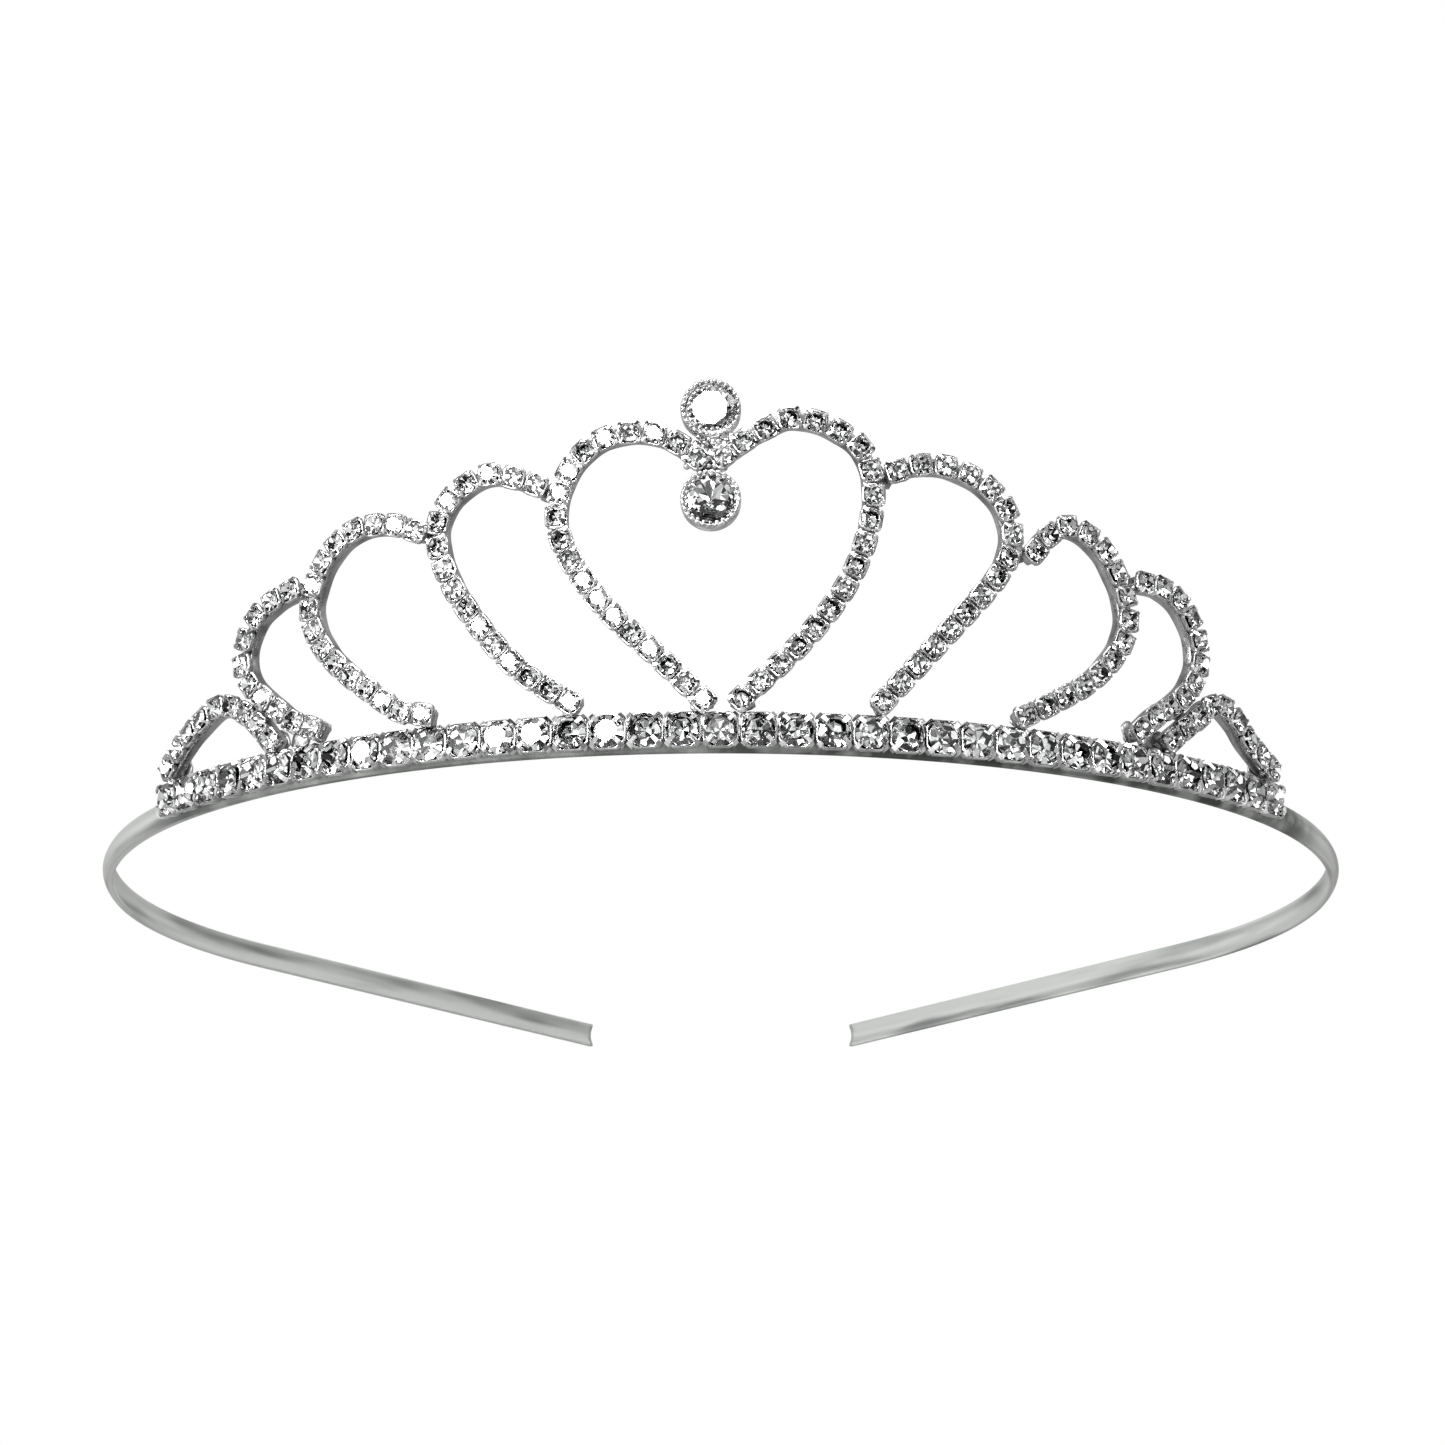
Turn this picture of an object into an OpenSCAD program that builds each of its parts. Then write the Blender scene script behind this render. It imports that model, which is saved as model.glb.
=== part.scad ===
// Bridal tiara: a sprung steel headband with a row of cup-set stones along its
// front and, above it, a heart and eight loops of stone-set wire.
//
// The band lies flat. Z is up, the stones face -Y, the tips point to +Y, and
// the origin is at the middle of the base of the whole piece.
//
// Everything above the band stands on one upright drum-shaped wall that is
// concentric with the band's front arc. A place on the wall is [s, z]: s is
// measured along the band's outer face from the middle, to the right as seen
// from the front, and z is the height.

/* [Headband] */
// Radius of the outer face along the front arc
band_r = 64.5; // [60:0.5:70]
// Half of the angle that the front arc covers
arc_half_angle = 126.5; // [120:0.5:130]
// Length of each straight leg
leg_len = 59.7; // [50:0.1:66]
// Height of the strip
band_w = 2.7; // [2.6:0.1:3.0]
// Depth of the arched strip, from its crown to its inner edges
band_t = 1.1; // [1.0:0.05:1.2]
// Rise of the crowned outer face over its edges
band_crown = 0.6; // [0.4:0.05:0.65]

/* [Base row] */
// Number of stones in the base row
row_count = 37; // [31:2:37]
// Angle from one stone of the base row to the next
row_step = 3.09; // [3.08:0.01:3.2]
// Height of the row's centre line
row_z = 1.8; // [1.76:0.02:1.84]
// Diameter of a base row stone
row_stone_d = 3.2; // [2.9:0.05:3.2]
// Depth of a base row cup
row_cup_h = 1.85; // [1.6:0.05:2.0]

/* [Strips] */
// Width of the backing wire, along the wall
wire_w = 1.6; // [1.2:0.1:1.8]
// Depth of the backing wire, through the wall
wire_t = 1.2; // [0.9:0.1:1.4]
// Diameter of a strip stone
gem_d = 1.9; // [1.7:0.05:1.9]
// Wanted distance between neighbouring strip stones
gem_pitch = 2.3; // [2.24:0.02:2.6]
// Depth of a strip cup
gem_cup_h = 0.95; // [0.8:0.05:1.1]

/* [Centre stones] */
// Diameter of the two large stones
big_stone_d = 5.1; // [4.8:0.1:5.2]
// Wall of their bezels
bezel_wall = 0.32; // [0.25:0.01:0.35]
// Depth of their bezels
bezel_h = 2.2; // [2.0:0.1:2.4]

/* [Hidden] */
// Where the wires and the bezels start, outward from the arc's centre
wall_r = band_r + 0.2;
wire_front_r = wall_r + wire_t;
// Slack between a stone and its setting, and between pieces laid together
slack = 0.02;
// Sheet thickness of the stamped cups
sheet = 0.12;
// How far a wire runs past its first and last stone
wire_over = 0.8;
// Distance between the cross-sections of a wire
wire_step = 1.8;
// Smoothness of round things
$fn = 64;

// Extent to the front and to the back of the arc's centre, which puts the
// origin at the middle of the whole
front_reach = wall_r + bezel_h + 0.5;
leg_turn = arc_half_angle - 90;
back_reach = band_r * sin(leg_turn) + leg_len * cos(leg_turn);
arc_y = (front_reach - back_reach) / 2;

// Routes of the ten strips on the wall, through the middle of their stones
// from the foot on the base row to the end that meets the next strip
heart_left = [[-1.6, 4.5], [-5.7, 8.7], [-10.4, 13.4], [-13.7, 18.2], [-15.1, 22],
    [-14.8, 25.2], [-13.4, 28], [-11, 30], [-7.4, 30.6], [-4.4, 29.7], [-2.2, 28]];
heart_right = [[1.9, 4.6], [7.5, 10.2], [11.7, 16.1], [13.8, 22], [14, 26.7],
    [12.3, 30], [7.4, 32], [3.6, 30.6], [0.2, 28.1]];
loop2_left = [[-13.8, 4.6], [-19, 8.4], [-24, 14.7], [-26.4, 19.4], [-26.9, 23.1],
    [-25, 26], [-21.5, 27.4], [-17.2, 26]];
loop2_right = [[15, 4.8], [21.2, 11.9], [26.3, 18], [27.8, 22], [26.4, 25.7],
    [22.5, 27.9], [18.9, 28.1], [16.4, 27.3]];
loop3_left = [[-28.2, 4.6], [-30.8, 5.3], [-33.2, 7.1], [-36.4, 9.6], [-39.4, 12.7],
    [-41.1, 16.7], [-39.4, 21.3], [-36, 23.7], [-32, 23.7], [-29.2, 22.7]];
loop3_right = [[29, 4.6], [31.6, 6], [36.4, 9.1], [40, 13.3], [40.6, 17.2],
    [38.4, 21.5], [35.6, 23.5], [32.8, 23.5], [30.2, 20.8]];
loop4_left = [[-40.5, 4.9], [-42.7, 5.8], [-46.7, 8.8], [-49.4, 11.4], [-49.8, 14.5],
    [-47.6, 17.6], [-43.5, 19]];
loop4_right = [[42, 4.9], [43.8, 6.5], [48, 9.5], [50, 12.8], [49.4, 16.4],
    [46.4, 19.2], [42.8, 19.6]];
loop5_left = [[-45.9, 4.6], [-47.8, 6.6], [-50.2, 8.3], [-53, 9.2], [-55.6, 8.5],
    [-59.4, 6.6], [-61.8, 4.7]];
loop5_right = [[46, 4.6], [47.7, 6], [50, 7.6], [52.4, 9.3], [55.2, 8.5],
    [58.2, 6.2], [61.6, 4.6]];

// Middles of the upper stone and of the drop stone
top_place = [-0.9, 32.8];
drop_place = [-0.9, 23.9];

// Where the strips touch each other, and where solder joins them behind
crossings = [[-16, 25.6], [15.2, 27], [-28.1, 22.7], [29, 21.2],
    [-42.3, 18.4], [41.6, 19.1], [-48, 8.1], [48.6, 8.3]];
feet = [[-1.8, 4.6], [2.1, 4.8], [-14.1, 4.7], [15.2, 5], [-28.6, 4.6], [29.4, 4.8],
    [-40.9, 5], [42.2, 5.1], [-46.1, 4.8], [46.2, 4.8], [-61.4, 4.8], [61.3, 4.7]];

// ---- Curves on the wall ----

// A point on the smooth curve between p1 and p2, with p0 and p3 as neighbours
function between(p0, p1, p2, p3, t) =
    0.5 * (2 * p1 + (p2 - p0) * t + (2 * p0 - 5 * p1 + 4 * p2 - p3) * t * t
        + (3 * p1 - p0 - 3 * p2 + p3) * t * t * t);

// The whole smooth curve through a route's points
function smooth(route, steps = 8) = let (last = len(route) - 1) concat(
    [for (i = [0 : last - 1], k = [0 : steps - 1])
        between(route[max(i - 1, 0)], route[i], route[i + 1],
            route[min(i + 2, last)], k / steps)],
    [route[last]]);

// Distance along a curve to each of its points
function distances(curve) =
    [for (i = 0, d = 0; i < len(curve);
        d = d + (i + 1 < len(curve) ? norm(curve[i + 1] - curve[i]) : 0), i = i + 1) d];

// The point at distance d along a curve; past an end it goes straight on
function along(curve, dist, d) = let (
    last = len(curve) - 1,
    total = dist[last],
    q = max(0, min(total, d)),
    x = lookup(q, [for (i = [0 : last]) [dist[i], curve[i].x]]),
    z = lookup(q, [for (i = [0 : last]) [dist[i], curve[i].y]]))
    [x, z] + (d < 0 ? d * unit(curve[1] - curve[0])
        : d > total ? (d - total) * unit(curve[last] - curve[last - 1]) : [0, 0]);
function unit(v) = v / norm(v);

// Direction of a curve at distance d, as a unit vector
function heading(curve, dist, d) =
    unit(along(curve, dist, d + 0.2) - along(curve, dist, d - 0.2));

// The point in space at place p of the wall, r from the arc's centre
function on_wall(p, r) = let (a = p.x / band_r * 180 / PI)
    [r * sin(a), arc_y - r * cos(a), p.y];

// Puts its children on the wall, with their Z axis pointing outward, and turned
module at_wall(p, r, turn = 0) {
    a = p.x / band_r * 180 / PI;
    translate([0, arc_y, p.y]) rotate([0, 0, a]) translate([0, -r, 0])
        rotate([90, 0, 0]) rotate([0, 0, turn]) children();
}

// Puts one of its children at each stone of a strip, turned along the strip
module each_gem(route, r) {
    curve = smooth(route);
    dist = distances(curve);
    total = dist[len(curve) - 1];
    gaps = floor(total / gem_pitch);
    for (i = [0 : gaps]) {
        d = i * total / gaps;
        h = heading(curve, dist, d);
        at_wall(along(curve, dist, d), r, atan2(h.y, h.x)) children();
    }
}

// ---- Settings and stones, with their axis along Z ----

// A stamped cup, narrower at its base, cut down between four corner prongs
module cup(stone_d, h) {
    bore = stone_d / 2 + slack;
    rim = bore + sheet;
    difference() {
        rotate_extrude()
            polygon([[0, 0], [rim * 0.78, 0], [rim, h * 0.45], [rim, h],
                [bore, h], [bore, h * 0.5], [bore * 0.72, sheet], [0, sheet]]);
        for (a = [0, 90])
            rotate([0, 0, a])
                translate([-rim * 1.1, -rim * 0.52, h * 0.62])
                    cube([rim * 2.2, rim * 1.04, h]);
    }
}

// A cut stone: flat table, crown, girdle and pointed back
module stone(d, table, crown_h, girdle_h, back_h) {
    r = d / 2;
    rotate_extrude()
        polygon([[0, -back_h], [r, -girdle_h / 2], [r, girdle_h / 2],
            [table / 2, girdle_h / 2 + crown_h], [0, girdle_h / 2 + crown_h]]);
}

// A deep round bezel with a seat inside and a milled rim
module bezel(stone_d, h) {
    bore = stone_d / 2 + slack;
    rim = bore + bezel_wall;
    teeth = 28;
    difference() {
        rotate_extrude()
            polygon([[0, 0], [rim * 0.8, 0], [rim, h * 0.3], [rim, h],
                [bore, h], [bore, h * 0.6], [bore * 0.6, h * 0.2], [0, h * 0.2]]);
        for (i = [0 : teeth - 1])
            rotate([0, 0, i * 360 / teeth])
                translate([bore - 0.1, -0.12, h - 0.2])
                    cube([bezel_wall + 0.3, 0.24, 0.3]);
    }
}

// ---- Pieces ----

module band_profile() {
    // Outer face arched, inner face hollow, top and bottom edges flat
    face_r = (band_w * band_w / 4 + band_crown * band_crown) / (2 * band_crown);
    intersection() {
        translate([band_r - band_t, 0]) square([band_t + 1, band_w]);
        difference() {
            translate([band_r - face_r, band_w / 2]) circle(r = face_r, $fn = 180);
            translate([band_r - band_t + band_crown / 2 - face_r, band_w / 2])
                circle(r = face_r, $fn = 180);
        }
    }
}

module headband() {
    color("silver") translate([0, arc_y, 0]) {
        rotate([0, 0, -90 - arc_half_angle])
            rotate_extrude(angle = 2 * arc_half_angle, $fn = 360) band_profile();
        for (side = [0, 1])
            mirror([side, 0, 0])
                rotate([0, 0, leg_turn])
                    translate([0, leg_len, 0])
                        rotate([90, 0, 0])
                            linear_extrude(leg_len) band_profile();
    }
}

// Places of the base row's stones, from left to right
function row_places() =
    [for (i = [0 : row_count - 1])
        [(i - (row_count - 1) / 2) * row_step * PI / 180 * band_r, row_z]];

module row_cups() {
    color("gainsboro")
        for (p = row_places())
            at_wall(p, band_r + slack) cup(row_stone_d, row_cup_h);
}

module row_links() {
    // Short bars between the bases of neighbouring cups
    link = [0.5, 0.9, 0.3];
    places = row_places();
    color("silver")
        for (i = [0 : row_count - 2])
            at_wall((places[i] + places[i + 1]) / 2, band_r + 0.15)
                translate([-link.x / 2, -link.y / 2, 0]) cube(link);
}

module row_stones() {
    color("aliceblue")
        for (p = row_places())
            at_wall(p, band_r + slack + row_cup_h * 0.78)
                stone(row_stone_d, 1.7, 0.5, 0.12, 1.1);
}

module strip_wire(route) {
    curve = smooth(route);
    dist = distances(curve);
    total = dist[len(curve) - 1] + 2 * wire_over;
    rings = ceil(total / wire_step);
    corners = [[-wire_w / 2, wall_r], [wire_w / 2, wall_r],
        [wire_w / 2, wire_front_r], [-wire_w / 2, wire_front_r]];
    points = [for (i = [0 : rings]) let (
            d = i * total / rings - wire_over,
            h = heading(curve, dist, d),
            side = [-h.y, h.x])
        for (c = corners) on_wall(along(curve, dist, d) + c[0] * side, c[1])];
    walls = [for (i = [0 : rings - 1], k = [0 : 3]) let (
            a = 4 * i + k,
            b = 4 * i + (k + 1) % 4)
        each [[a, b, b + 4], [a, b + 4, a + 4]]];
    last = 4 * rings;
    ends = [[2, 1, 0], [3, 2, 0], [last, last + 1, last + 2], [last, last + 2, last + 3]];
    color("lightgray") polyhedron(points, concat(walls, ends), convexity = 6);
}

module strip_cups(route) {
    color("gainsboro")
        each_gem(route, wire_front_r + slack) cup(gem_d, gem_cup_h);
}

module strip_stones(route) {
    color("aliceblue")
        each_gem(route, wire_front_r + slack + gem_cup_h * 0.8)
            stone(gem_d, 1.1, 0.3, 0.08, 0.6);
}

module big_bezel(place) {
    color("silver") at_wall(place, wall_r) bezel(big_stone_d, bezel_h);
}

module big_stone(place) {
    color("aliceblue")
        at_wall(place, wall_r + bezel_h * 0.78)
            stone(big_stone_d, 3.1, 0.75, 0.16, 1.15);
}

// A flat bead of solder behind the wall, rounded at its edge
module solder_bead(place, r, h) {
    at_wall(place, wall_r - h - slack)
        rotate_extrude()
            polygon([[0, 0], [r * 0.7, 0], [r, h * 0.5], [r, h], [0, h]]);
}

module foot_solder() {
    bead_r = 1.1;
    color("darkgray")
        for (p = feet)
            solder_bead([p.x, max(p.y, band_w + bead_r + 0.1)], bead_r, 0.5);
}

module crossing_solder() {
    color("darkgray") for (p = crossings) solder_bead(p, 1.2, 0.6);
}

module centre_solder() {
    // One long run of solder from the drop stone's bezel up to the top bezel
    r = 1.3;
    h = 0.7;
    color("darkgray")
        at_wall((top_place + drop_place) / 2, wall_r - h - slack)
            hull()
                for (y = [-2.5, 2.5])
                    translate([0, y, 0]) cylinder(r = r, h = h, $fn = 32);
}

headband();
row_cups();
row_links();
row_stones();
strip_wire(heart_left);  // heart_left_wire
strip_cups(heart_left);  // heart_left_cups
strip_stones(heart_left);  // heart_left_stones
strip_wire(heart_right);  // heart_right_wire
strip_cups(heart_right);  // heart_right_cups
strip_stones(heart_right);  // heart_right_stones
strip_wire(loop2_left);  // loop2_left_wire
strip_cups(loop2_left);  // loop2_left_cups
strip_stones(loop2_left);  // loop2_left_stones
strip_wire(loop2_right);  // loop2_right_wire
strip_cups(loop2_right);  // loop2_right_cups
strip_stones(loop2_right);  // loop2_right_stones
strip_wire(loop3_left);  // loop3_left_wire
strip_cups(loop3_left);  // loop3_left_cups
strip_stones(loop3_left);  // loop3_left_stones
strip_wire(loop3_right);  // loop3_right_wire
strip_cups(loop3_right);  // loop3_right_cups
strip_stones(loop3_right);  // loop3_right_stones
strip_wire(loop4_left);  // loop4_left_wire
strip_cups(loop4_left);  // loop4_left_cups
strip_stones(loop4_left);  // loop4_left_stones
strip_wire(loop4_right);  // loop4_right_wire
strip_cups(loop4_right);  // loop4_right_cups
strip_stones(loop4_right);  // loop4_right_stones
strip_wire(loop5_left);  // loop5_left_wire
strip_cups(loop5_left);  // loop5_left_cups
strip_stones(loop5_left);  // loop5_left_stones
strip_wire(loop5_right);  // loop5_right_wire
strip_cups(loop5_right);  // loop5_right_cups
strip_stones(loop5_right);  // loop5_right_stones
big_bezel(top_place);  // top_bezel
big_stone(top_place);  // top_stone
big_bezel(drop_place);  // drop_bezel
big_stone(drop_place);  // drop_stone
foot_solder();
crossing_solder();
centre_solder();
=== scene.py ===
# %% [markdown]
# # A bridal tiara, piece by piece
# The real tiara is a strip of spring steel bent into an open headband. Its front holds a
# row of foiled stones in stamped cups. Above the row stand a heart and eight loops of
# flat wire, each with a line of smaller stones along its front, and two large stones in
# round bezels where the heart's lobes meet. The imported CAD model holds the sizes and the
# places. This lesson reads them and builds the fine shapes and the finishes around them.

import bpy
import numpy as np
from mathutils import Matrix, Vector


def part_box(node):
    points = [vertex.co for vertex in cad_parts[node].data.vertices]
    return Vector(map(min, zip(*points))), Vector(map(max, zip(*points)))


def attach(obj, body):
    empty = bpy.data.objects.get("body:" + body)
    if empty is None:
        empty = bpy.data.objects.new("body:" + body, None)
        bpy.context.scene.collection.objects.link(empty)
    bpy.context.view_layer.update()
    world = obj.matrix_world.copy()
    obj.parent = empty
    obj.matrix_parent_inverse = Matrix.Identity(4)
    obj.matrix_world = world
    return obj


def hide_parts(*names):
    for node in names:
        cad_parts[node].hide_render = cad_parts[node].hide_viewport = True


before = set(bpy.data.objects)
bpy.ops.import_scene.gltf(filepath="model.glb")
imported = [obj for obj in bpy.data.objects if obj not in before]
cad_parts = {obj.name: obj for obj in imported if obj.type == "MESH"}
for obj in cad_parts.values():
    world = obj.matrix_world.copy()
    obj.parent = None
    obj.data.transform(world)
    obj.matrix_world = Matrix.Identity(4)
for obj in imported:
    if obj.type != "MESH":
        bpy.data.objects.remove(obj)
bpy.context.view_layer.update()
MM = 0.001
TAU = 2 * np.pi
rng = np.random.default_rng(37)

# %% [markdown]
# ## The drum and its numbers
# The front of the headband is an arc, and everything above it stands on a drum that is
# concentric with that arc. So one centre and one radius place every piece. Both come from
# the headband's own box: half its width is the radius, and the centre lies one radius
# behind its foremost point.

# %% Find the arc's centre and radius
band_low, band_high = (np.array(corner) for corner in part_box("headband"))
band_r = (band_high[0] - band_low[0]) / 2
band_h = band_high[2] - band_low[2]
arc_centre = np.array([0.0, band_low[1] + band_r, 0.0])
print("arc radius %.1f mm, centre y %.1f mm" % (band_r / MM, arc_centre[1] / MM))


def outward(angle):
    """Unit vectors away from the drum's axis: sine of the angle, minus its cosine, zero."""
    return np.stack([np.sin(angle), -np.cos(angle), 0 * angle], axis=-1)


def rightward(angle):
    """Unit vectors round the drum, to the right as seen from the front."""
    return np.stack([np.cos(angle), np.sin(angle), 0 * angle], axis=-1)


def on_drum(angle, height, radius):
    """Points on the drum: centre plus radius times outward, raised to the height."""
    place = arc_centre + np.asarray(radius)[..., None] * outward(angle)
    place[..., 2] = height
    return place


# %% [markdown]
# ## The camera
# The camera stands half a metre in front and a little below the headband's plane, so the
# headband's two ends hang down in the picture and the stones face the lens. A long lens
# keeps the perspective weak, as in a product shot.

# %% Place the camera
CAMERA_DROP = np.radians(14.0)
CAMERA_DISTANCE = 0.5
LENS_MM = 133.5
AIM_OFFSET = Vector((0.18 * MM, -0.35 * MM, 2.66 * MM))

aim = Vector((0.0, arc_centre[1] - band_r, 0.0)) + AIM_OFFSET
look = Vector((0.0, np.cos(CAMERA_DROP), np.sin(CAMERA_DROP)))
up = Vector((0.0, -np.sin(CAMERA_DROP), np.cos(CAMERA_DROP)))
right = look.cross(up)
camera = bpy.data.objects.new("camera", bpy.data.cameras.new("camera"))
bpy.context.scene.collection.objects.link(camera)
turn = Matrix((right, up, -look)).transposed().to_4x4()
camera.matrix_world = Matrix.Translation(aim - look * CAMERA_DISTANCE) @ turn
camera.data.lens = LENS_MM
camera.data.sensor_width = 36.0
camera.data.clip_start = 0.01
bpy.context.scene.camera = camera
print("camera at", [round(v, 3) for v in camera.location])

# %% [markdown]
# ## Reading the settings' places from the frame
# Each CAD node of stones is a set of loose solids. A solid's triangles share corners only
# with each other, so passing the lowest corner number from neighbour to neighbour until
# nothing changes gives every solid one number. The area-weighted middle of its triangles
# lies on the stone's axis, whatever way it faces.


# %% Read loose solids
def loose_solids(node):
    """Middles of a node's solids, and all its corners' distances from the drum's axis.

    Corners at one place are merged, each triangle takes the lowest label of its three
    corners and gives it back to them, and this repeats until the labels stand still."""
    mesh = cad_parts[node].data
    mesh.calc_loop_triangles()
    corners = np.empty(len(mesh.vertices) * 3)
    mesh.vertices.foreach_get("co", corners)
    corners = corners.reshape(-1, 3)
    triangles = np.empty(len(mesh.loop_triangles) * 3, int)
    mesh.loop_triangles.foreach_get("vertices", triangles)
    keys = np.round(corners * 1e6).astype(np.int64)
    _, merged = np.unique(keys, axis=0, return_inverse=True)
    tri = merged.reshape(-1)[triangles].reshape(-1, 3)
    label = np.arange(tri.max() + 1)
    while True:
        before = label.copy()
        np.minimum.at(label, tri.ravel(), np.repeat(label[tri].min(axis=1), 3))
        label = label[label]
        if np.array_equal(label, before):
            break
    place = corners[triangles].reshape(-1, 3, 3)
    area = np.linalg.norm(
        np.cross(place[:, 1] - place[:, 0], place[:, 2] - place[:, 0]), axis=1)
    solids, which = np.unique(label[tri[:, 0]], return_inverse=True)
    total = np.zeros(len(solids))
    middle = np.zeros((len(solids), 3))
    np.add.at(total, which, area)
    np.add.at(middle, which, area[:, None] * place.mean(axis=1))
    away = np.hypot(corners[:, 0], corners[:, 1] - arc_centre[1])
    return middle / total[:, None], away


def flat_places(node):
    """Places of a node's solids on the unrolled drum: distance round it, and height."""
    middles, _ = loose_solids(node)
    angle = np.arctan2(middles[:, 0], arc_centre[1] - middles[:, 1])
    return np.stack([angle * band_r, middles[:, 2]], axis=1)


def in_order(flat, start):
    """Places as a chain: from the one nearest the start, always on to the nearest left."""
    order = [int(np.argmin(np.linalg.norm(flat - start, axis=1)))]
    left = set(range(len(flat))) - set(order)
    while left:
        here = flat[order[-1]]
        order.append(min(left, key=lambda i: np.linalg.norm(flat[i] - here)))
        left.remove(order[-1])
    return flat[order]


row = flat_places("row_stones")
row = row[np.argsort(row[:, 0])]
row_back_r = loose_solids("row_stones")[1].min()
print("base row:", len(row), "stones, backs at %.2f mm" % (row_back_r / MM))

# %% [markdown]
# ## From numbers to meshes
# Every piece below is arrays of corners and faces. A small helper turns them into a
# Blender mesh, and gives each face its material and each corner its place on a pattern.


# %% Mesh helpers
def make_piece(name, corners, faces, materials, replaced, smooth=True,
               face_material=None, pattern=None):
    """A mesh piece that rides on the tiara's one body and stands for its CAD nodes."""
    mesh = bpy.data.meshes.new(name)
    mesh.from_pydata(np.asarray(corners).tolist(), [], faces)
    for material in materials:
        mesh.materials.append(material)
    if face_material is not None:
        mesh.polygons.foreach_set("material_index", np.asarray(face_material, np.int32))
    smooth = np.broadcast_to(np.asarray(smooth, bool), (len(mesh.polygons),)).copy()
    mesh.polygons.foreach_set("use_smooth", smooth)
    if pattern is not None:
        index = np.empty(len(mesh.loops), int)
        mesh.loops.foreach_get("vertex_index", index)
        layer = mesh.uv_layers.new(name="pattern")
        layer.data.foreach_set("uv", np.asarray(pattern, np.float32)[index].ravel())
    mesh.update()
    piece = bpy.data.objects.new(name, mesh)
    bpy.context.scene.collection.objects.link(piece)
    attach(piece, "root")
    if replaced:
        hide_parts(*replaced)
    return piece


def grid_faces(rows, columns, closed_columns=True, flip=False):
    """Quads of a grid of corners numbered row by row; the last column may meet the first."""
    r = np.arange(rows - 1)[:, None]
    c = np.arange(columns if closed_columns else columns - 1)[None, :]
    n = (c + 1) % columns
    quads = np.stack([r * columns + c, r * columns + n,
                      (r + 1) * columns + n, (r + 1) * columns + c], axis=-1)
    quads = quads.reshape(-1, 4)
    return (quads[:, ::-1] if flip else quads).tolist()


def copies(corners, faces, origins, x_axes, y_axes, z_axes):
    """One mesh of many copies: each corner is its origin plus its x, y and z parts."""
    corners = np.asarray(corners)
    placed = (origins[:, None, :]
              + corners[None, :, 0, None] * x_axes[:, None, :]
              + corners[None, :, 1, None] * y_axes[:, None, :]
              + corners[None, :, 2, None] * z_axes[:, None, :])
    step = len(corners)
    all_faces = [[v + i * step for v in f] for i in range(len(origins)) for f in faces]
    return placed.reshape(-1, 3), all_faces


# %% [markdown]
# ## Frames along a line of stones
# A cup's four prongs sit at the corners between it and its neighbours, so each setting is
# turned along its line. A hand-set stone also leans a degree or two, and that decides which
# tables flash white, so each gets a small seeded lean.


# %% Setting frames
def setting_frames(flat, radius):
    """Origins and axes: x along the line of stones, z outward, y square to both."""
    angle = flat[:, 0] / band_r
    step = np.gradient(flat, axis=0)
    step /= np.linalg.norm(step, axis=1)[:, None]
    z_axis = outward(angle)
    x_axis = step[:, :1] * rightward(angle) + step[:, 1:] * np.array([0.0, 0.0, 1.0])
    y_axis = np.cross(z_axis, x_axis)
    origin = on_drum(angle, flat[:, 1], np.full(len(flat), radius))
    return origin, x_axis, y_axis, z_axis


def leaning(x_axis, y_axis, z_axis, degrees):
    """Tips each frame about its own x and y by small seeded angles and spins it."""
    tip = np.radians(degrees) * rng.standard_normal((len(x_axis), 2))
    spin = rng.uniform(0, TAU, len(x_axis))
    z_new = z_axis + tip[:, :1] * x_axis + tip[:, 1:] * y_axis
    z_new /= np.linalg.norm(z_new, axis=1)[:, None]
    x_new = np.cos(spin)[:, None] * x_axis + np.sin(spin)[:, None] * y_axis
    x_new -= (x_new * z_new).sum(axis=1)[:, None] * z_new
    x_new /= np.linalg.norm(x_new, axis=1)[:, None]
    return x_new, np.cross(z_new, x_new), z_new


# %% [markdown]
# ## Finishes
# The metal is one plating seen in three states: bright on the stamped cups, softer on the
# wires, dull on solder. A node group holds what they share: cloudy patches that shift the
# colour and the roughness, and a fine unevenness for the bump. Each material then places
# the group with its own values.


# %% Plating group
def new_group(name, inputs, outputs):
    """An empty node group with named sockets: inputs are (name, type, default)."""
    group = bpy.data.node_groups.new(name, "ShaderNodeTree")
    for title, kind, default in inputs:
        socket = group.interface.new_socket(title, in_out="INPUT", socket_type=kind)
        socket.default_value = default
    for title, kind in outputs:
        group.interface.new_socket(title, in_out="OUTPUT", socket_type=kind)
    nodes = group.nodes
    return group, nodes.new("NodeGroupInput"), nodes.new("NodeGroupOutput")


def add(tree, kind, **values):
    """A new node with its plain settings given by name."""
    node = tree.nodes.new(kind)
    for title, value in values.items():
        setattr(node, title, value)
    return node


def noise(tree, scale, detail=2.0):
    """A noise texture with its scale and its number of finer layers."""
    node = add(tree, "ShaderNodeTexNoise")
    node.inputs["Scale"].default_value = scale
    node.inputs["Detail"].default_value = detail
    return node


def remap(tree, low, high, new_low=0.0, new_high=1.0, curve="LINEAR"):
    """Carries the range low to high onto the new range, and holds it at the new ends."""
    node = add(tree, "ShaderNodeMapRange", interpolation_type=curve)
    ends = {"From Min": low, "From Max": high, "To Min": new_low, "To Max": new_high}
    for title, value in ends.items():
        node.inputs[title].default_value = value
    return node


def two_tones(tree, first, second):
    """A mix of two colours, the first at factor 0 and the second at factor 1."""
    node = add(tree, "ShaderNodeMix", data_type="RGBA")
    node.inputs[6].default_value = (*first, 1)
    node.inputs[7].default_value = (*second, 1)
    return node


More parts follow.
